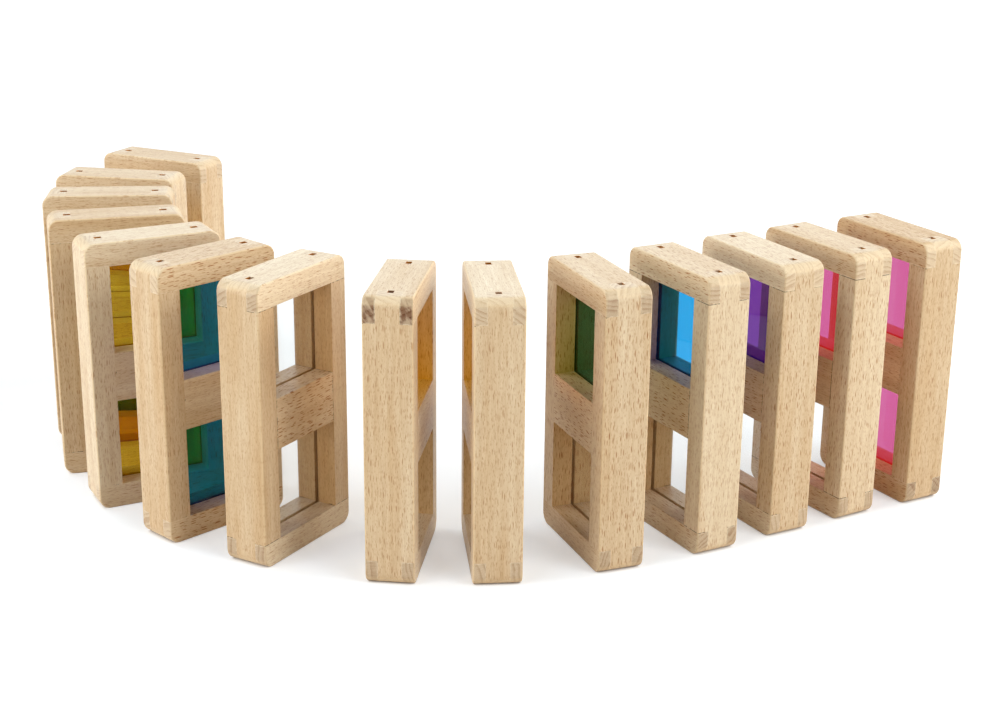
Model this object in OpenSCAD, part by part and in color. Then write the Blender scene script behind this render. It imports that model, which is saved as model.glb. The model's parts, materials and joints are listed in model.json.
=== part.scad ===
// Wooden frame blocks with coloured windows, stood on end in a curved row like dominoes.
// All sizes are millimetres. The row stands on the XY plane with the middle of its plan at the origin,
// and its open side faces +Y. Each block is two stiles and three rails, bridle jointed at the corners,
// with two panes held in a groove that runs round the inside of the frame.

/* [Block] */
// Width of a block's big face
block_w = 75; // [65:1:85]
// Thickness of a block
block_t = 25; // [20:1:28]
// Height of a block as it stands
block_h = 150; // [120:1:180]
// Radius of the four outer corners of the big face
corner_r = 6; // [3:0.5:9]
// Radius of the eased long edges
edge_r = 1; // [0.5:0.25:2.5]

/* [Frame] */
// Width of each upright stile
stile_w = 13; // [10:0.5:16]
// Height of the top and bottom rails
rail_h = 13; // [10:0.5:16]
// Height of the middle rail
middle_h = 27; // [20:1:34]
// Share of the thickness that a stile's end tongue takes
tongue_share = 0.48; // [0.3:0.02:0.6]

/* [Panes] */
// Thickness of a pane
pane_t = 2; // [1.5:0.25:2.5]
// Width of the groove that holds the panes
groove_w = 3; // [2.75:0.25:4]
// Depth of the groove
groove_d = 4; // [2:0.5:5]
// Room left round a pane in its groove, at the top and at both sides
pane_play = 0.6; // [0.2:0.1:1]

/* [Row] */
// Radius of the bend, to the middle of the blocks
bend_r = 213; // [205:1:260]
// Angle at which the row starts on the bend, from +X
bend_start = 161; // [150:1:170]
// Angle from one block to the next on the bend
bend_step = 14.25; // [14:0.25:17]
// Number of blocks on the bend, before the row runs on straight
bend_blocks = 11; // [9:1:14]
// Distance from one block to the next on the straight run
run_step = 48; // [46:1:60]
// How far the blocks stray from an even row, from 0 for none to 1 for set down by hand
stray = 1; // [0:0.1:1]

/* [Hidden] */
// Every block from the back left end of the row: how far it was set down past its even place along the row
// and outwards across it, how far it was turned in degrees, and the colours of its upper and lower panes
BLOCKS = [
    [-1, -3, -6, "green", "green"],
    [4, 1, -4, "amber", "amber"],
    [-1, 0, -4, "clear", "green"],
    [0, 1, -8, "clear", "amber"],
    [-2, 1, -10, "yellow", "yellow"],
    [-2, 2, -6, "blue", "blue"],
    [-4, 1, -6, "clear", "clear"],
    [6, 1, 3, "amber", "clear"],
    [-1, 0, 1, "amber", "clear"],
    [2, -5, 2, "green", "clear"],
    [3, -4, -5, "blue", "clear"],
    [3, -2, -5, "purple", "clear"],
    [0, 0, -2, "pink", "clear"],
    [1, 4, -4, "pink", "pink"],
];
last_block = len(BLOCKS) - 1;

// Sub-parts of a block, which end the names of its nodes
PIECES = ["stiles", "rails", "upper_pane", "lower_pane"];

beech = [0.86, 0.72, 0.53];
pale_beech = [0.9, 0.78, 0.6];
pane_alpha = 0.55;

tongue_t = block_t * tongue_share;
window_w = block_w - 2 * stile_w;
window_h = (block_h - 2 * rail_h - middle_h) / 2;
middle_z = (block_h - middle_h) / 2;
pane_w = window_w + 2 * (groove_d - pane_play);
pane_h = window_h + 2 * groove_d - pane_play;
// Smoothness of the small edge rounds and of the corners
edge_fn = 32;
corner_fn = 64;
// How far a cutter reaches past the faces that it cuts through
past = 1;

function two_digits(n) = n < 10 ? str("0", n) : str(n);
function node_name(i, piece) = str("block_", two_digits(i + 1), "_", piece);

function pane_tint(name) =
    name == "amber" ? [0.95, 0.6, 0.1] :
    name == "yellow" ? [0.97, 0.83, 0.1] :
    name == "green" ? [0.15, 0.6, 0.25] :
    name == "blue" ? [0.1, 0.6, 0.88] :
    name == "purple" ? [0.45, 0.25, 0.65] :
    name == "pink" ? [0.92, 0.35, 0.6] :
    [0.93, 0.96, 0.97];

// Directions out from the middle of the bend, and along the row, at an angle round the bend
function outward(angle) = [cos(angle), sin(angle)];
function onward(angle) = [-sin(angle), cos(angle)];

// Angle on the bend where block i stands, or where the straight run starts
function bend_angle(i) = bend_start + bend_step * min(i, bend_blocks - 1);
function run_length(i) = run_step * max(0, i - bend_blocks + 1);

// Place and turn of block i, with the middle of the bend at the origin
function place(i) =
    (bend_r + stray * BLOCKS[i][1]) * outward(bend_angle(i))
    + (run_length(i) + stray * BLOCKS[i][0]) * onward(bend_angle(i));
function turn(i) = bend_angle(i) + stray * BLOCKS[i][2];

// How far a block's eased outline reaches from its middle along X and Y
function reach(i) =
    let (w = block_w / 2 - edge_r, t = block_t / 2 - edge_r, c = abs(cos(turn(i))), s = abs(sin(turn(i))))
    [w * c + t * s + edge_r, w * s + t * c + edge_r];
function row_low(axis) = min([for (i = [0 : last_block]) place(i)[axis] - reach(i)[axis]]);
function row_high(axis) = max([for (i = [0 : last_block]) place(i)[axis] + reach(i)[axis]]);
row_middle = [(row_low(0) + row_high(0)) / 2, (row_low(1) + row_high(1)) / 2];

// Sets a piece of block i down in its place. A block is drawn with its width along X, from its middle,
// its thickness along Y, and its foot on the XY plane. Its +Y side faces the next block of the row.
module set_down(i) {
    translate(concat(place(i) - row_middle, 0)) rotate([0, 0, turn(i)]) children();
}

// Both ends of a block's width, and both ends of its height
module left_and_right() {
    for (side = [0, 1]) mirror([side, 0, 0]) children();
}
module top_and_bottom() {
    children();
    translate([0, 0, block_h]) mirror([0, 0, 1]) children();
}

// Rectangle with four rounded corners
module rounded_rectangle(w, h, r, fn) {
    square([w - 2 * r, h], center = true);
    square([w, h - 2 * r], center = true);
    for (x = [-1, 1], y = [-1, 1]) translate([x * (w / 2 - r), y * (h / 2 - r)]) circle(r, $fn = fn);
}

// Half of a section that is eased on its outer side, reaching from x = 0 to depth
module eased_side(depth) {
    intersection() {
        rounded_rectangle(2 * depth, block_t, edge_r, edge_fn);
        translate([0, -block_t]) square([depth, 2 * block_t]);
    }
}

// Groove for the panes, along the inner edge of a stick that runs along X
module pane_groove(length) {
    translate([-length / 2, -groove_w / 2, -past]) cube([length, groove_w, groove_d + past]);
}

// One upright with its two end tongues, and a groove that is open at both ends
module stile() {
    inner_x = block_w / 2 - stile_w;
    difference() {
        union() {
            translate([inner_x, 0, rail_h]) linear_extrude(block_h - 2 * rail_h) eased_side(stile_w);
            translate([0, 0, block_h / 2]) rotate([90, 0, 0]) linear_extrude(tongue_t, center = true)
                intersection() {
                    rounded_rectangle(block_w, block_h, corner_r, corner_fn);
                    translate([inner_x, -block_h]) square([stile_w, 2 * block_h]);
                }
        }
        translate([inner_x, 0, block_h / 2]) rotate([0, 90, 0]) pane_groove(block_h + 2 * past);
    }
}

// Rounded and eased outer corner of a rail, which stands on the inner edge of the rail
module rail_corner() {
    linear_extrude(rail_h - corner_r) eased_side(corner_r);
    translate([0, 0, rail_h - corner_r]) rotate([90, 0, 0]) rotate_extrude(angle = 90, $fn = corner_fn)
        eased_side(corner_r);
}

// Slot in the end of a rail, which leaves a cheek on each side of a stile's tongue
module tongue_slot() {
    translate([block_w / 2 - stile_w, -tongue_t / 2, -past])
        cube([stile_w + past, tongue_t, rail_h + 2 * past]);
}

// Rail across the top of the block, with forked ends
module end_rail() {
    translate([0, 0, block_h - rail_h]) difference() {
        union() {
            rotate([0, -90, 0]) linear_extrude(block_w - 2 * corner_r, center = true) eased_side(rail_h);
            left_and_right() translate([block_w / 2 - corner_r, 0, 0]) rail_corner();
        }
        left_and_right() tongue_slot();
        pane_groove(block_w);
    }
}

// Rail between the two windows, with a stub tongue in each stile's groove
module middle_rail() {
    translate([0, 0, middle_z]) difference() {
        union() {
            translate([-window_w / 2, -block_t / 2, 0]) cube([window_w, block_t, middle_h]);
            translate([-window_w / 2 - groove_d, -groove_w / 2, 0])
                cube([window_w + 2 * groove_d, groove_w, middle_h]);
        }
        pane_groove(block_w);
        translate([0, 0, middle_h]) mirror([0, 0, 1]) pane_groove(block_w);
    }
}

// Sheet that stands on the floor of the groove below its window
module pane(sill_z, tint) {
    color(tint, pane_alpha) translate([-pane_w / 2, -pane_t / 2, sill_z - groove_d])
        cube([pane_w, pane_t, pane_h]);
}

module stiles() {
    color(pale_beech) left_and_right() stile();
}
module rails() {
    color(beech) {
        top_and_bottom() end_rail();
        middle_rail();
    }
}
module upper_pane(tint) {
    pane(middle_z + middle_h, tint);
}
module lower_pane(tint) {
    pane(rail_h, tint);
}

for (i = [0 : last_block]) {
    set_down(i) stiles();
    set_down(i) rails();
    set_down(i) upper_pane(pane_tint(BLOCKS[i][3]));
    set_down(i) lower_pane(pane_tint(BLOCKS[i][4]));
}
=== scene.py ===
"""Fourteen beech frame blocks with coloured windows, stood on end in a curved row on a white floor."""
import json
import math
from collections import namedtuple
import bpy
from mathutils import Matrix, Vector

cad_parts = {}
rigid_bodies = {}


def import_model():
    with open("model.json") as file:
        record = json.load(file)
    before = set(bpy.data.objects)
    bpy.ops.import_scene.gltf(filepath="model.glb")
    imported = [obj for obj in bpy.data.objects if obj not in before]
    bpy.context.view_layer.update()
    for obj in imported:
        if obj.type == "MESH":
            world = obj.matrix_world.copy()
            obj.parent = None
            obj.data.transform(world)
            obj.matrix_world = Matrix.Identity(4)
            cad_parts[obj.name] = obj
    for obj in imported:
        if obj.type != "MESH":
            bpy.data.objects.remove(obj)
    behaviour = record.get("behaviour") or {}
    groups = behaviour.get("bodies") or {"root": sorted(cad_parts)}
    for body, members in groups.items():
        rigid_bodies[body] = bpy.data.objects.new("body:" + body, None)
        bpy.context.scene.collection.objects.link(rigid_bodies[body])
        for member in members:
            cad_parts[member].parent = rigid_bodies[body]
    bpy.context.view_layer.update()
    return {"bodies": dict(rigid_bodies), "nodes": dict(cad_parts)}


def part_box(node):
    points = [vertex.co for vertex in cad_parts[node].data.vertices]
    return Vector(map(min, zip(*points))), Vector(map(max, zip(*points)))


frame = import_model()

# A millimetre in metres, and in millimetres how far apart two surfaces may lie and still count as one, and
# how high a block is
MM = 0.001
SLACK = 0.05
block_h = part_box("block_01_stiles")[1].z / MM

# The camera: its place in metres, its angles in degrees and its lens in millimetres
CAMERA_PLACE = (0.01474, -0.98196, 0.39101)
CAMERA_YAW = 0.142
CAMERA_PITCH = 18.329
CAMERA_ROLL = 0.594
CAMERA_LENS = 64.143
SENSOR_WIDTH = 36

# Softboxes: their places and sizes in metres, their power in watts and the sRGB colour of their light
Lamp = namedtuple("Lamp", "name place width height power shade")
COOL_LIGHT = (232, 245, 255)
WARM_LIGHT = (250, 249, 243)
LAMPS = (
    Lamp("front left", (-1.1, -1.1, 1.7), 1.0, 1.2, 14.5, COOL_LIGHT),
    Lamp("front right", (1.1, -1.1, 1.7), 1.0, 1.2, 14.5, COOL_LIGHT),
    Lamp("behind", (0.0, 1.8, 1.2), 1.6, 1.0, 8.0, COOL_LIGHT),
    Lamp("left", (-1.9, -0.7, 0.45), 1.2, 0.7, 22.0, WARM_LIGHT),
    Lamp("right", (1.7, -1.0, 0.9), 1.2, 1.2, 18.5, WARM_LIGHT),
    Lamp("high left", (-1.4, 0.6, 2.0), 1.2, 1.0, 20.0, COOL_LIGHT),
    Lamp("right behind", (1.9, 0.7, 0.9), 1.2, 1.0, 30.0, WARM_LIGHT),
)
LAMP_AIM = (0, 0, 0.07)

# Beech, as sRGB colours from 0 to 255. A shade darkens what it lies on.
PALE_BEECH = (236, 219, 191)
WARM_BEECH = (209, 176, 132)
# Painted highlight along the eased edges
ARRIS_PAINTED_HIGHLIGHT = (242, 216, 172)
PALE_END = (230, 210, 180)
DARK_END = (134, 100, 74)
GLUE_LINE = (240, 224, 198)
STREAK_SHADE = (222, 203, 180)
FLECK_SHADE = (194, 140, 88)
RING_SHADE = (190, 146, 106)
GAP_SHADE = (72, 48, 34)
# Painted shade, darker and warmer, on the upright sides of the windows
REVEAL_PAINTED_SHADE = (255, 241, 214)
# Painted shade: a little on the walls of the pane grooves, more and warmer in the holes at the top and foot
GROOVE_PAINTED_SHADE = (248, 234, 216)
HOLE_PAINTED_SHADE = (252, 200, 120)
DEEP_HOLE_PAINTED_SHADE = (190, 134, 66)

# The wood of each block, from 0 to 1: how warm its stiles, its top and foot rails and its middle rail are,
# how bold the flecks of each are, how dark the ends of its top and foot rails are, and how far its joints
# gape. Flecks bolder than 1 are also broader.
Wood = namedtuple("Wood", (
    "stiles rails middle stile_flecks rail_flecks middle_flecks top_ends foot_ends open_joints"
))
WOODS = {
    1: Wood(0.4, 0.5, 0.5, 0.6, 0.6, 0.7, 0.2, 0.3, 0.2),
    2: Wood(0.15, 0.4, 0.4, 0.5, 0.7, 0.7, 0.1, 0.2, 0.2),
    3: Wood(0.6, 0.4, 0.4, 0.7, 0.6, 0.7, 0.3, 0.3, 0.2),
    4: Wood(0.7, 0.6, 0.5, 0.7, 0.6, 0.6, 0.2, 0.2, 0.4),
    5: Wood(0.1, 0.1, 0.2, 0.7, 0.6, 0.4, 0.0, 0.2, 0.1),
    6: Wood(0.5, 0.6, 0.2, 0.6, 1.6, 0.5, 0.1, 0.2, 0.1),
    7: Wood(0.5, 0.0, 0.5, 0.4, 0.7, 2.2, 0.35, 0.4, 0.7),
    8: Wood(0.5, 0.3, 0.4, 0.7, 0.6, 0.8, 1.0, 0.35, 0.1),
    9: Wood(0.4, 0.1, 0.4, 0.65, 0.4, 0.8, 0.2, 0.25, 0.1),
    10: Wood(0.4, 0.6, 0.35, 1.0, 0.8, 2.0, 0.4, 0.4, 0.1),
    11: Wood(0.05, 0.3, 0.1, 0.7, 1.1, 1.8, 0.3, 0.4, 0.8),
    12: Wood(0.5, 0.0, 0.4, 0.95, 0.8, 1.3, 0.05, 0.25, 0.5),
    13: Wood(0.2, 0.4, 0.4, 1.0, 1.0, 0.5, 0.15, 0.35, 1.0),
    14: Wood(0.5, 0.85, 0.35, 0.8, 1.3, 0.8, 0.1, 0.65, 0.2),
}
STILE_ENDS = 0.05

# The sticks of a block, and in millimetres how far apart they grew and how their grain wanders
STILES = 2
RAILS = 3
STICK_APART = 237.0
WANDER = 5.0
WANDER_LENGTH = 70.0
# How squarely a surface cuts the grain where end grain starts to show, and where there is nothing else
END_FACING = (0.3, 0.65)

# Growth rings in millimetres: how far off the pith lies, how wide a ring is, how far the rings sway and over
# what length and width, how far apart runs of narrow rings lie, and how many more rings such a run holds
PITH_NEAR = 40.0
PITH_SPREAD = 60.0
RING_WIDTH = 2.8
RING_SWAY = 3.0
SWAYS = (90.0, 8.0)
RUNS_APART = 9.0
RUN_RINGS = 4.0
# Where late wood starts and where it is darkest, as shares of a ring
LATE_WOOD = (0.35, 0.95)
# The levels of noise between which a broken ring comes in, and how bold the rings are along the grain, on
# pale end grain and on dark end grain
RING_LEVELS = (0.25, 0.55)
LONG_RINGS = 0.12
PALE_RINGS = 0.35
DARK_RINGS = 0.8
# Rays across the rings: how many there are, their length in millimetres, the levels of noise between which
# they come in, and how bold they are
RAYS_PER_RADIAN = 90.0
RAY_LENGTH = 6.0
RAY_LEVELS = (0.4, 0.7)
RAY_SHARE = 0.5

# How far the warmth of the wood swings from stick to stick and in bands, and the bands' length and width
STICK_SWING = 0.2
BAND_SWING = 1.2
BANDS = (110.0, 9.0)

# Figure of the wood: its length and width in millimetres, the levels of noise between which it comes in, and
# the share of its shade that it takes
Figure = namedtuple("Figure", "length width faint full share")
STREAKS = Figure(40.0, 1.9, 0.3, 0.72, 0.25)
FIBRES = Figure(9.0, 0.28, 0.35, 0.65, 0.3)
PORES = Figure(3.0, 0.35, 0.4, 0.7, 0.3)

# Pointed marks: the length and width in millimetres of the cells that hold one each, and how much of its cell
# the smallest and the largest one reaches over
Marks = namedtuple("Marks", "length width smallest largest")
FLECKS = Marks(8.4, 1.05, 0.11, 0.33)
SPECKS = Marks(3.2, 0.7, 0.1, 0.35)
# How bold specks are, how bold the faintest mark is, and the share of a mark's width at full strength
SPECK_SHARE = 0.5
FAINTEST_MARK = 0.4
MARK_CORE = 0.4

# Gloss of the wood, its roughness between two levels of noise, the depth of its grain in millimetres, and how
# much of that depth shows and how much of it the flecks sink
WOOD_GLOSS = 0.3
GLOSS_LEVELS = (0.3, 0.7)
WOOD_ROUGHNESS = (0.38, 0.5)
GRAIN_DEPTH = 0.05
GRAIN_RELIEF = 0.25
FLECK_SINK = 0.15

# Joints, with widths and lengths in millimetres. A core is the share of a line's width at full strength, a
# share is how bold it is, and levels are those of noise between which gaps, glue and the holes' paler painted
# shade come in.
# A hairline is what shows of an open joint between its gaps.
GAP = 0.55
GAP_LENGTH = 1.6
GAP_CORE = 0.4
GAP_SHARE = 0.9
SHUT_LEVELS = (0.65, 0.72)
OPEN_LEVELS = (0.3, 0.52)
HAIRLINE = 0.15
GLUE_W = 0.8
GLUE_LENGTH = 2.2
GLUE_CORE = 0.2
GLUE_SHARE = 0.5
GLUE_LEVELS = (0.42, 0.6)
LEAST_GLUE = 0.15
HOLE_GRAIN = 1.2
HOLE_LEVELS = (0.4, 0.6)
# How squarely the surface of an eased edge faces a side of the block where its painted highlight starts, and
# where it is brightest, and how bold that is
ARRIS_HIGHLIGHT_FACING = (0.985, 0.9)
ARRIS_HIGHLIGHT_SHARE = 0.3

# Light that each acrylic lets through, as sRGB colours from 0 to 255, what it throws where that differs,
# and the painted glow that the pink and purple sheets give off by themselves, whatever the light
ACRYLICS = {
    "amber": (236, 179, 8),
    "yellow": (252, 240, 84),
    "green": (32, 132, 104),
    "blue": (4, 156, 218),
    "purple": (94, 40, 124),
    "pink": (120, 88, 144),
    "clear": (244, 246, 247),
}
THROWN_LIGHT = {
    "amber": (255, 206, 0),
    "green": (116, 172, 62),
    "blue": (20, 84, 240),
    "pink": (255, 136, 104),
}
PAINTED_PANE_GLOW = {
    "pink": (148, 24, 20),
    "purple": (24, 0, 62),
}
NO_PAINTED_GLOW = (0, 0, 0)
# The sheet's surface: faint clouds in its tint, smears that roughen it, and dust
PANE_FACES = 2
SHEET_IOR = 1.3
CLOUD_SHADE = (235, 235, 235)
CLOUD_SHARE = 0.12
CLOUDS_PER_METRE = (40, 40, 40)
SMEARS_PER_METRE = (160, 160, 60)
SMEAR_LEVELS = (0.45, 0.8)
SHEET_ROUGHNESS = (0.015, 0.06)
DUST = (236, 214, 160)
DUST_SHARE = 0.018

# The floor, which looks white and throws warmer light back, and the even light from all round. Its reaches
# are metres, and its glow is 1 where it is white by itself.
FLOOR_HALF = 20.0
FLOOR_SHADE = (232, 220, 204)
SEEN_SHADE = (216, 217, 219)
# Painted shadow on the floor's glow where the blocks stand on it
PAINTED_CONTACT_SHADOW = (84, 66, 56)
CONTACT_REACH = 0.04
OPEN_SHARE = 0.5
NEAR_FLOOR = 0.9
FAR_FLOOR = 2.5
FLOOR_GLOW = 0.42
FAR_GLOW = 1.0
WORLD_LIGHT = 0.12
WORLD_TINT = (255, 242, 222)
WHITE = (1, 1, 1, 1)


def linear(colour):
    """Shader colour for an sRGB colour from 0 to 255."""
    def channel(value):
        share = value / 255
        return share / 12.92 if share <= 0.04045 else ((share + 0.055) / 1.055) ** 2.4
    return (*map(channel, colour), 1.0)


def between(start, end, share):
    """Value that lies a share of the way from start to end."""
    return start + (end - start) * share


def node_name(number, piece):
    return f"block_{number:02d}_{piece}"


def block_numbers():
    """Numbers of the blocks along the row, from 1."""
    return range(1, len(frame["bodies"]) + 1)


def block_place(number):
    """Middle of a block's foot, and the turn of its width about +Z, read from its upper pane."""
    name = node_name(number, "upper_pane")
    low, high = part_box(name)
    middle = (low + high) / 2
    facing = max(frame["nodes"][name].data.polygons, key=lambda face: face.area).normal
    outward = Vector((facing.y, -facing.x))
    if outward.dot(middle.xy) < 0:
        outward.negate()
    return Vector((middle.x, middle.y, 0)), math.atan2(outward.y, outward.x)


# How far off a block's middle its joinery lies, in millimetres: the upright sides of its windows, the stiles'
# shoulders, the sides of their tongues, and the sides and floors of their grooves
Joints = namedtuple("Joints", "window shoulder tongue groove groove_floor")


def read_joints(number):
    """Joinery of a block, read from its stiles."""
    place, turn = block_place(number)
    to_block = Matrix.Rotation(-turn, 3, "Z")
    mesh = frame["nodes"][node_name(number, "stiles")].data
    points = [to_block @ (vertex.co - place) / MM for vertex in mesh.vertices]
    window = min(abs(point.x) for point in points)
    groove = min(abs(point.y) for point in points if abs(point.x) < window + SLACK)
    groove_floor = max(abs(point.x) for point in points if abs(abs(point.y) - groove) < SLACK)
    tongue = max(abs(point.y) for point in points if point.z > block_h - SLACK)
    shoulder = max(point.z for point in points if abs(point.y) > tongue + SLACK) - block_h / 2
    return Joints(window, shoulder, tongue, groove, groove_floor)


joints = read_joints(1)
# The grooves of the top and foot rails are as deep as those of the stiles
rail_groove_floor = joints.shoulder + joints.groove_floor - joints.window
# Each rail lies in its own third of the height
rail_third = block_h / RAILS


class Nodes:
    """The nodes of a material or world, whose values are numbers, tuples or other nodes' outputs."""

    def __init__(self, owner):
        owner.use_nodes = True
        self.tree = owner.node_tree
        self.tree.nodes.clear()

    def add(self, kind, inputs, **settings):
        """New node with the given inputs, named or numbered, and settings."""
        node = self.tree.nodes.new("ShaderNode" + kind)
        for setting, value in settings.items():
            setattr(node, setting, value)
        for key, value in inputs.items():
            socket = node.inputs[key] if isinstance(key, int) else self.socket(node.inputs, key)
            if isinstance(value, bpy.types.NodeSocket):
                self.tree.links.new(value, socket)
            else:
                socket.default_value = value
        return node

    def socket(self, sockets, key):
        return next(socket for socket in sockets if key in (socket.identifier, socket.name))

    def math(self, operation, *values, clamp=False):
        return self.add("Math", dict(enumerate(values)), operation=operation, use_clamp=clamp).outputs[0]

    def most(self, *values):
        """The largest of some values."""
        largest = values[0]
        for value in values[1:]:
            largest = self.math("MAXIMUM", largest, value)
        return largest

    def product(self, *values):
        result = values[0]
        for value in values[1:]:
            result = self.math("MULTIPLY", result, value)
        return result

    def off(self, value, level):
        """Distance of a value from a level."""
        return self.math("ABSOLUTE", self.math("SUBTRACT", value, level))

    def swing(self, share, reach):
        """Value that goes from half the reach below zero to half above as the share goes from 0 to 1."""
        return self.math("MULTIPLY_ADD", share, reach, -reach / 2)

    def spread(self, share, low, high):
        """Value that goes evenly from low to high as the share goes from 0 to 1."""
        return self.math("MULTIPLY_ADD", share, high - low, low)

    def ramp(self, value, low, high, start=0.0, end=1.0):
        """Value that goes smoothly from start to end as the given one goes from low to high."""
        inputs = {"Value": value, "From Min": low, "From Max": high, "To Min": start, "To Max": end}
        return self.add("MapRange", inputs, interpolation_type="SMOOTHSTEP").outputs[0]

    def either(self, choice, no, yes):
        """One value where the choice is 0, and the other where it is 1."""
        return self.ramp(choice, 0.0, 1.0, no, yes)

    def vector(self, x, y, z):
        return self.add("CombineXYZ", {"X": x, "Y": y, "Z": z}).outputs[0]

    def scaled(self, place, scale):
        return self.add("VectorMath", {0: place, 1: scale}, operation="MULTIPLY").outputs[0]

    def noise(self, place, detail=2.0):
        """Noise from 0 to 1, with features about 1 unit apart."""
        return self.add("TexNoise", {"Vector": place, "Scale": 1.0, "Detail": detail}).outputs[0]

    def parts(self, colour):
        """The three channels of a colour."""
        return self.add("SeparateColor", {"Color": colour}).outputs

    def mix(self, blend, share, under, over):
        inputs = {"Factor_Float": share, "A_Color": under, "B_Color": over}
        node = self.add("Mix", inputs, data_type="RGBA", blend_type=blend)
        return self.socket(node.outputs, "Result_Color")

    def cover(self, under, over, *shares):
        """Colour with another laid over a share of it."""
        return self.mix("MIX", self.product(*shares), under, over)

    def darken(self, colour, shade, *shares):
        """Colour with a shade laid over a share of it."""
        return self.mix("MULTIPLY", self.product(*shares), colour, linear(shade))

    def seen(self):
        """1 for rays that show the surroundings, also in a gloss or through a pane, and 0 for others."""
        path = self.add("LightPath", {}).outputs
        return self.most(path["Is Camera Ray"], path["Is Glossy Ray"], path["Is Transmission Ray"])


def block_coordinates(nodes, number):
    """Place in millimetres and outward direction of a surface point, in its block's own frame."""
    place, turn = block_place(number)
    coordinates = nodes.add("TexCoord", {}).outputs
    own = {"Location": place, "Rotation": (0, 0, turn), "Scale": (MM, MM, MM)}
    point = nodes.add("Mapping", {"Vector": coordinates["Object"], **own}, vector_type="TEXTURE").outputs[0]
    facing = {"Vector": coordinates["Normal"], "Rotation": (0, 0, turn)}
    normal = nodes.add("Mapping", facing, vector_type="TEXTURE").outputs[0]
    return [nodes.add("SeparateXYZ", {"Vector": vector}).outputs for vector in (point, normal)]


class Stick:
    """Where a surface point lies in its stick of wood, in millimetres along the grain and across it."""

    def __init__(self, nodes, number, kind):
        self.nodes = nodes
        self.kind = kind
        self.wood = WOODS[number]
        self.point, self.normal = block_coordinates(nodes, number)
        self.off_middle = nodes.math("ABSOLUTE", self.point["X"])
        self.off_pane = nodes.math("ABSOLUTE", self.point["Y"])
        self.off_centre = nodes.off(self.point["Z"], block_h / 2)

        # The sticks are counted along the row, the stiles of a block before its rails. Noise is weakest at
        # whole numbers, so each stick's seed lies half way between two.
        first_stick = (STILES + RAILS) * number
        if kind == "stiles":
            along, across, facing = self.point["Z"], self.point["X"], self.normal["Z"]
            stick = nodes.math("GREATER_THAN", self.point["X"], 0.0)
        else:
            along, across, facing = self.point["X"], self.point["Z"], self.normal["X"]
            stick = nodes.math("FLOOR", nodes.math("DIVIDE", self.point["Z"], rail_third))
            first_stick += STILES
        self.seed = nodes.math("ADD", stick, first_stick + 0.5)
        chance = nodes.add("TexWhiteNoise", {"W": self.seed}, noise_dimensions="1D").outputs
        self.chance = nodes.parts(chance["Color"])

        # Each stick comes from its own place in the tree, and its grain wanders a little
        self.along = nodes.math("MULTIPLY_ADD", self.seed, STICK_APART, along)
        bends = nodes.vector(nodes.math("DIVIDE", self.along, WANDER_LENGTH), self.seed, 0.0)
        self.across = nodes.math("MULTIPLY_ADD", nodes.noise(bends, detail=1.0), WANDER, across)
        self.depth = self.point["Y"]

        # Share of end grain, from none where the surface runs along the grain to all where it cuts it
        self.end = nodes.ramp(nodes.math("ABSOLUTE", facing), *END_FACING)

    def noise(self, length, width):
        """Noise drawn out along the grain."""
        nodes = self.nodes
        sizes = ((self.along, length), (self.across, width), (self.depth, width))
        return nodes.noise(nodes.vector(*(nodes.math("DIVIDE", part, size) for part, size in sizes)))

    def figure(self, figure):
        """How strongly a figure shows, from 0 to 1."""
        return self.nodes.ramp(self.noise(figure.length, figure.width), figure.faint, figure.full)

    def marks(self, marks):
        """Pointed marks along the grain, one in each cell, bold or faint."""
        nodes = self.nodes
        along = nodes.math("DIVIDE", self.along, marks.length)
        aside = nodes.math("DIVIDE", nodes.math("ADD", self.across, self.depth), marks.width)
        inputs = {"Vector": nodes.vector(along, aside, 0.0), "Scale": 1.0, "Randomness": 1.0}
        cell = nodes.add("TexVoronoi", inputs, voronoi_dimensions="2D").outputs
        chance = nodes.parts(cell["Color"])
        reach = nodes.spread(chance[0], marks.smallest, marks.largest)
        mark = nodes.ramp(cell["Distance"], reach, nodes.math("MULTIPLY", reach, MARK_CORE))
        return nodes.product(mark, nodes.spread(chance[1], FAINTEST_MARK, 1.0))

    def tone(self):
        """How warm the stick's wood is, from 0 to 1."""
        return self.middle_or_other(self.wood.middle, self.wood.rails, self.wood.stiles)

    def fleck_strength(self):
        """How bold the stick's flecks are."""
        return self.middle_or_other(self.wood.middle_flecks, self.wood.rail_flecks, self.wood.stile_flecks)

    def is_middle(self):
        """1 in the middle third of the height, which holds the middle rail."""
        return self.nodes.math("LESS_THAN", self.off_centre, rail_third / 2)

    def middle_or_other(self, middle, rails, stiles):
        """The value for this stick out of those for a middle rail, the other rails and the stiles."""
        if self.kind == "stiles":
            return stiles
        return self.nodes.either(self.is_middle(), rails, middle)

    def end_tone(self):
        """How dark the stick's end grain is, from 0 to 1."""
        if self.kind == "stiles":
            return STILE_ENDS
        is_top = self.nodes.math("GREATER_THAN", self.point["Z"], block_h / 2)
        return self.nodes.either(is_top, self.wood.foot_ends, self.wood.top_ends)

    def patches(self, apart):
        """Noise that is as long as it is wide, with features the given distance apart."""
        nodes = self.nodes
        place = nodes.vector(*(nodes.math("DIVIDE", self.point[axis], apart) for axis in "XYZ"))
        return nodes.noise(place, detail=3.0)


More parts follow.
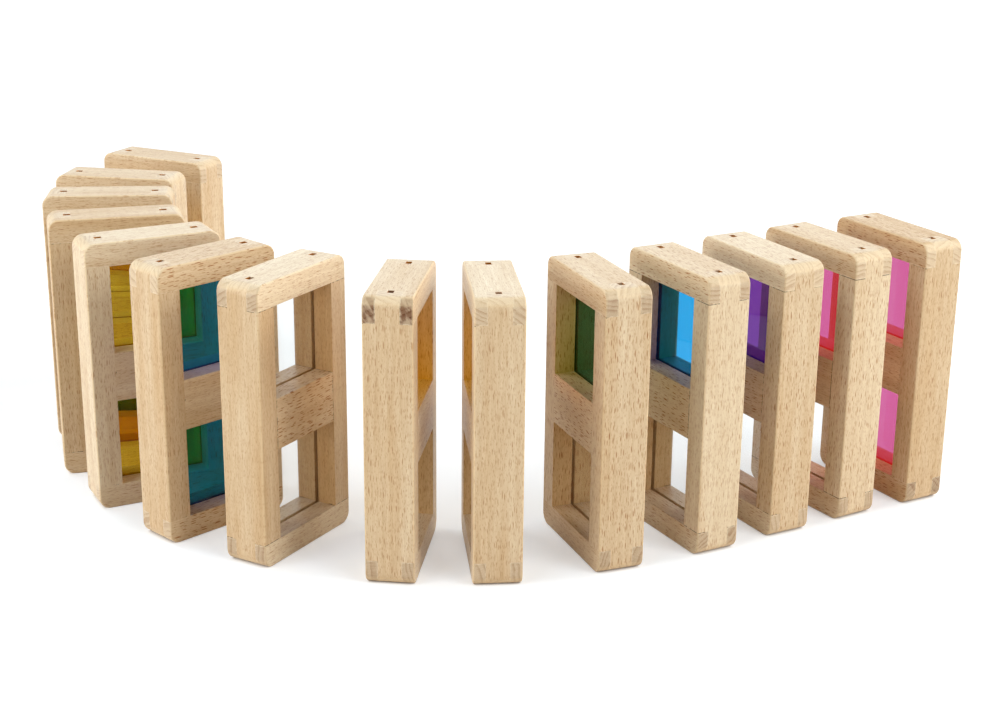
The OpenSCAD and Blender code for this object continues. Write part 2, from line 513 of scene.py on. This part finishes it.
def growth_rings(stick):
    """Late wood of the growth rings and fine rays across them, round a pith outside the stick."""
    nodes = stick.nodes
    angle = nodes.math("MULTIPLY", stick.chance[0], 2 * math.pi)
    far = nodes.math("MULTIPLY_ADD", stick.chance[1], PITH_SPREAD, PITH_NEAR)
    across = nodes.math("MULTIPLY_ADD", nodes.math("COSINE", angle), far, stick.across)
    depth = nodes.math("MULTIPLY_ADD", nodes.math("SINE", angle), far, stick.depth)
    square = nodes.math("ADD", nodes.math("POWER", across, 2.0), nodes.math("POWER", depth, 2.0))
    radius = nodes.math("MULTIPLY_ADD", stick.noise(*SWAYS), RING_SWAY, nodes.math("SQRT", square))
    runs = nodes.noise(nodes.vector(nodes.math("DIVIDE", radius, RUNS_APART), stick.seed, 0.0))
    count = nodes.math("MULTIPLY_ADD", runs, RUN_RINGS, nodes.math("DIVIDE", radius, RING_WIDTH))
    ring = nodes.math("FRACT", count)
    start, darkest = LATE_WOOD
    late = nodes.product(nodes.ramp(ring, start, darkest), nodes.ramp(ring, 1.0, darkest))
    round_pith = nodes.math("MULTIPLY", nodes.math("ARCTAN2", across, depth), RAYS_PER_RADIAN)
    rays = nodes.noise(nodes.vector(round_pith, nodes.math("DIVIDE", radius, RAY_LENGTH), stick.seed))
    return late, nodes.ramp(rays, *RAY_LEVELS)


def painted_groove_shade_share(stick):
    """1 on the walls of the groove for the panes, which get painted shade."""
    nodes = stick.nodes
    within = nodes.math("LESS_THAN", stick.off_pane, joints.groove + SLACK)
    if stick.kind == "stiles":
        inner = nodes.math("LESS_THAN", stick.off_middle, joints.groove_floor + SLACK)
    else:
        inner = nodes.math("LESS_THAN", stick.off_centre, rail_groove_floor + SLACK)
    return nodes.product(within, inner)


def painted_hole_shade_share(stick):
    """1 in the small square holes where the grooves come out at the top and the foot, which get darker
    painted shade.
    """
    return stick.nodes.math("GREATER_THAN", stick.off_centre, rail_groove_floor + SLACK)


def painted_reveal_shade_share(stick):
    """1 on the upright sides of the windows, which get painted shade."""
    return stick.nodes.math("LESS_THAN", stick.off_middle, joints.window + SLACK)


def open_joint_share(stick):
    """Broken dark hairlines where a stile's shoulders or a middle rail's ends don't quite close."""
    nodes = stick.nodes
    openness = stick.wood.open_joints
    if stick.kind == "stiles":
        from_joint = nodes.off(stick.off_centre, joints.shoulder)
        beside = nodes.math("GREATER_THAN", stick.off_pane, joints.tongue)
    else:
        from_joint = nodes.off(stick.off_middle, joints.window)
        beside = stick.is_middle()
    line = nodes.ramp(from_joint, GAP, GAP_CORE * GAP)
    levels = [between(shut, wide, openness) for shut, wide in zip(SHUT_LEVELS, OPEN_LEVELS)]
    gaps = nodes.ramp(stick.patches(GAP_LENGTH), *levels)
    return nodes.product(line, beside, nodes.math("MULTIPLY_ADD", gaps, 1 - HAIRLINE, HAIRLINE * openness))


def glue_share(stick):
    """Pale glue line round the cheeks of a rail's forked ends."""
    nodes = stick.nodes
    beside_tongue = nodes.ramp(nodes.off(stick.off_pane, joints.tongue), GLUE_W, GLUE_CORE * GLUE_W)
    above_shoulder = nodes.ramp(nodes.off(stick.off_centre, joints.shoulder), GLUE_W, GLUE_CORE * GLUE_W)
    at_end = nodes.math("GREATER_THAN", stick.off_middle, joints.window + SLACK)
    squeezed_out = nodes.ramp(stick.patches(GLUE_LENGTH), *GLUE_LEVELS, LEAST_GLUE, 1.0)
    return nodes.product(nodes.most(beside_tongue, above_shoulder), at_end, squeezed_out)


def painted_arris_highlight_share(stick):
    """1 along the eased edges, where the surface faces between two sides of the block and gets a painted
    highlight.
    """
    nodes = stick.nodes
    facing = nodes.most(*(nodes.math("ABSOLUTE", stick.normal[axis]) for axis in "XYZ"))
    return nodes.ramp(facing, *ARRIS_HIGHLIGHT_FACING)


def long_grain(stick, rings, flecks, fibres):
    """Colour of a surface along the grain: broad bands, fine streaks and the flecks of the cut rays."""
    nodes = stick.nodes
    own_tone = nodes.math("ADD", stick.tone(), nodes.swing(stick.chance[2], STICK_SWING))
    tone = nodes.math("ADD", own_tone, nodes.swing(stick.noise(*BANDS), BAND_SWING), clamp=True)
    colour = nodes.cover(linear(PALE_BEECH), linear(WARM_BEECH), tone)
    colour = nodes.darken(colour, STREAK_SHADE, stick.figure(STREAKS), STREAKS.share)
    colour = nodes.darken(colour, STREAK_SHADE, rings, LONG_RINGS)
    colour = nodes.darken(colour, STREAK_SHADE, nodes.ramp(fibres, FIBRES.faint, FIBRES.full), FIBRES.share)
    colour = nodes.darken(colour, FLECK_SHADE, stick.marks(SPECKS), SPECK_SHARE)
    return nodes.darken(colour, FLECK_SHADE, flecks, stick.fleck_strength())


def end_grain(stick, rings, rays):
    """Colour of a surface across the grain: growth rings, pores and fine rays, pale in dark wood."""
    nodes = stick.nodes
    tone = stick.end_tone()
    boldness = nodes.spread(tone, PALE_RINGS, DARK_RINGS)
    broken_rings = nodes.product(rings, nodes.ramp(stick.patches(RING_WIDTH), *RING_LEVELS))
    colour = nodes.cover(linear(PALE_END), linear(DARK_END), tone)
    colour = nodes.darken(colour, RING_SHADE, broken_rings, boldness)
    colour = nodes.cover(colour, linear(PALE_END), rays, tone, RAY_SHARE)
    return nodes.darken(colour, RING_SHADE, stick.figure(PORES), PORES.share)


def joinery(stick, colour):
    """The colour with glue lines, painted highlights on eased edges, open joints, and painted shade on window
    insides, grooves and holes.
    """
    nodes = stick.nodes
    if stick.kind == "rails":
        colour = nodes.cover(colour, linear(GLUE_LINE), glue_share(stick), GLUE_SHARE)
    # Painted highlight along the eased edges
    colour = nodes.cover(colour, linear(ARRIS_PAINTED_HIGHLIGHT), painted_arris_highlight_share(stick), ARRIS_HIGHLIGHT_SHARE)
    colour = nodes.darken(colour, GAP_SHADE, open_joint_share(stick), GAP_SHARE)
    # Painted shade on the upright sides of the windows
    if stick.kind == "stiles":
        colour = nodes.darken(colour, REVEAL_PAINTED_SHADE, painted_reveal_shade_share(stick))
    # Painted shade in the grooves, and darker, warmer painted shade in the holes, paler where the noise is
    # high
    paler_hole = nodes.ramp(stick.patches(HOLE_GRAIN), *HOLE_LEVELS)
    hole_painted_shade = nodes.cover(linear(DEEP_HOLE_PAINTED_SHADE), linear(HOLE_PAINTED_SHADE), paler_hole)
    groove = nodes.cover(linear(GROOVE_PAINTED_SHADE), hole_painted_shade, painted_hole_shade_share(stick))
    return nodes.mix("MULTIPLY", painted_groove_shade_share(stick), colour, groove)


def beech(number, kind):
    """Oiled beech of a block's two stiles, with upright grain, or of its three rails, with level grain."""
    material = bpy.data.materials.new(f"beech_{number:02d}_{kind}")
    nodes = Nodes(material)
    stick = Stick(nodes, number, kind)
    rings, rays = growth_rings(stick)
    flecks = stick.marks(FLECKS)
    fibres = stick.noise(FIBRES.length, FIBRES.width)
    along = long_grain(stick, rings, flecks, fibres)
    colour = nodes.cover(along, end_grain(stick, rings, rays), stick.end)

    height = nodes.math("MULTIPLY_ADD", flecks, -FLECK_SINK, fibres)
    relief = {"Height": height, "Strength": GRAIN_RELIEF, "Distance": GRAIN_DEPTH * MM}
    surface = nodes.add("BsdfPrincipled", {
        "Base Color": joinery(stick, colour),
        "Roughness": nodes.ramp(fibres, *GLOSS_LEVELS, *WOOD_ROUGHNESS),
        "Specular IOR Level": WOOD_GLOSS,
        "Normal": nodes.add("Bump", relief).outputs[0],
    })
    nodes.add("OutputMaterial", {"Surface": surface.outputs[0]})
    return material


def acrylic(name, tint):
    """Cast acrylic sheet with a little dust, which lets lamplight through in its own colour."""
    material = bpy.data.materials.new(name + "_sheet")
    nodes = Nodes(material)
    place = nodes.add("TexCoord", {}).outputs["Object"]
    cloud = nodes.noise(nodes.scaled(place, CLOUDS_PER_METRE))
    smear = nodes.noise(nodes.scaled(place, SMEARS_PER_METRE), detail=4.0)
    sheet = nodes.add("BsdfPrincipled", {
        "Base Color": nodes.darken(linear(tint), CLOUD_SHADE, cloud, CLOUD_SHARE),
        "Roughness": nodes.ramp(smear, *SMEAR_LEVELS, *SHEET_ROUGHNESS),
        "IOR": SHEET_IOR,
        "Transmission Weight": 1.0,
        # Painted glow: the pink and purple sheets give off light of their own
        "Emission Color": linear(PAINTED_PANE_GLOW.get(name, NO_PAINTED_GLOW)),
        "Emission Strength": 1.0,
    })
    dust = nodes.add("BsdfDiffuse", {"Color": linear(DUST)})
    dusty = nodes.add("MixShader", {0: DUST_SHARE, 1: sheet.outputs[0], 2: dust.outputs[0]})

    # Lamplight goes straight through, and each face of the pane takes its share of the tint
    thrown = nodes.darken(linear(THROWN_LIGHT.get(name, tint)), CLOUD_SHADE, cloud, CLOUD_SHARE)
    one_face = nodes.add("Gamma", {"Color": thrown, "Gamma": 1 / PANE_FACES}).outputs[0]
    open_way = nodes.add("BsdfTransparent", {"Color": one_face})
    path = nodes.add("LightPath", {}).outputs
    lamplight = nodes.most(path["Is Shadow Ray"], path["Is Diffuse Ray"])
    surface = nodes.add("MixShader", {0: lamplight, 1: dusty.outputs[0], 2: open_way.outputs[0]})
    nodes.add("OutputMaterial", {"Surface": surface.outputs[0]})
    return material


def dress_blocks():
    """Gives every stick its beech and every pane its acrylic."""
    sheets = {tint: acrylic(tint, colour) for tint, colour in ACRYLICS.items()}
    for number in block_numbers():
        for kind in ("stiles", "rails"):
            slots = frame["nodes"][node_name(number, kind)].material_slots
            slots[0].material = beech(number, kind)
        for window in ("upper_pane", "lower_pane"):
            slots = frame["nodes"][node_name(number, window)].material_slots
            slots[0].material = sheets[slots[0].material.name.split("_")[0]]


def make_camera():
    """Camera at the photo's place and angle."""
    camera = bpy.data.cameras.new("camera")
    camera.lens = CAMERA_LENS
    camera.sensor_width = SENSOR_WIDTH
    holder = bpy.data.objects.new("camera", camera)
    bpy.context.scene.collection.objects.link(holder)
    holder.matrix_world = (
        Matrix.Translation(CAMERA_PLACE)
        @ Matrix.Rotation(math.radians(CAMERA_YAW), 4, "Z")
        @ Matrix.Rotation(math.radians(90 - CAMERA_PITCH), 4, "X")
        @ Matrix.Rotation(math.radians(CAMERA_ROLL), 4, "Z")
    )
    bpy.context.scene.camera = holder


def white_floor():
    """Matt floor that keeps the blocks' shadows, with a painted shadow where they touch it, and stays white
    far off.
    """
    material = bpy.data.materials.new("white_floor")
    nodes = Nodes(material)
    seen = nodes.seen()
    matt = nodes.add("BsdfDiffuse", {"Color": nodes.cover(linear(FLOOR_SHADE), linear(SEEN_SHADE), seen)})
    place = nodes.add("TexCoord", {}).outputs["Object"]
    distance = nodes.add("VectorMath", {0: place}, operation="LENGTH").outputs["Value"]
    glow = nodes.ramp(distance, NEAR_FLOOR, FAR_FLOOR, FLOOR_GLOW, FAR_GLOW)
    # Painted contact shadow: the glow turns to its shade where little open sky is near
    open_sky = nodes.add("AmbientOcclusion", {"Distance": CONTACT_REACH}).outputs["AO"]
    colour = nodes.cover(linear(PAINTED_CONTACT_SHADOW), WHITE, nodes.ramp(open_sky, 0.0, OPEN_SHARE))
    white = nodes.add("Emission", {"Color": colour, "Strength": nodes.product(seen, glow)})
    surface = nodes.add("AddShader", {0: matt.outputs[0], 1: white.outputs[0]})
    nodes.add("OutputMaterial", {"Surface": surface.outputs[0]})
    return material


def make_floor():
    """Wide level floor under the row."""
    corners = [(x * FLOOR_HALF, y * FLOOR_HALF, 0) for x, y in ((-1, -1), (1, -1), (1, 1), (-1, 1))]
    mesh = bpy.data.meshes.new("floor")
    mesh.from_pydata(corners, [], [(0, 1, 2, 3)])
    mesh.materials.append(white_floor())
    floor = bpy.data.objects.new("floor", mesh)
    bpy.context.scene.collection.objects.link(floor)


def make_world():
    """Even, slightly warm light from all round, in front of a white background."""
    world = bpy.data.worlds.new("studio")
    nodes = Nodes(world)
    seen = nodes.seen()
    background = nodes.add("Background", {
        "Color": nodes.cover(linear(WORLD_TINT), WHITE, seen),
        "Strength": nodes.either(seen, WORLD_LIGHT, 1.0),
    })
    nodes.add("OutputWorld", {"Surface": background.outputs[0]})
    bpy.context.scene.world = world


def make_light():
    """Cool softboxes over the front corners, behind and high on the left, and warm ones at the sides."""
    for lamp in LAMPS:
        light = bpy.data.lights.new(lamp.name, "AREA")
        light.shape = "RECTANGLE"
        light.size = lamp.width
        light.size_y = lamp.height
        light.energy = lamp.power
        light.color = linear(lamp.shade)[:3]
        holder = bpy.data.objects.new(lamp.name, light)
        bpy.context.scene.collection.objects.link(holder)
        holder.location = lamp.place
        towards = Vector(LAMP_AIM) - Vector(lamp.place)
        holder.rotation_euler = towards.to_track_quat("-Z", "Y").to_euler()


make_camera()
make_world()
make_light()
make_floor()
dress_blocks()
bpy.context.scene.view_settings.view_transform = "Standard"
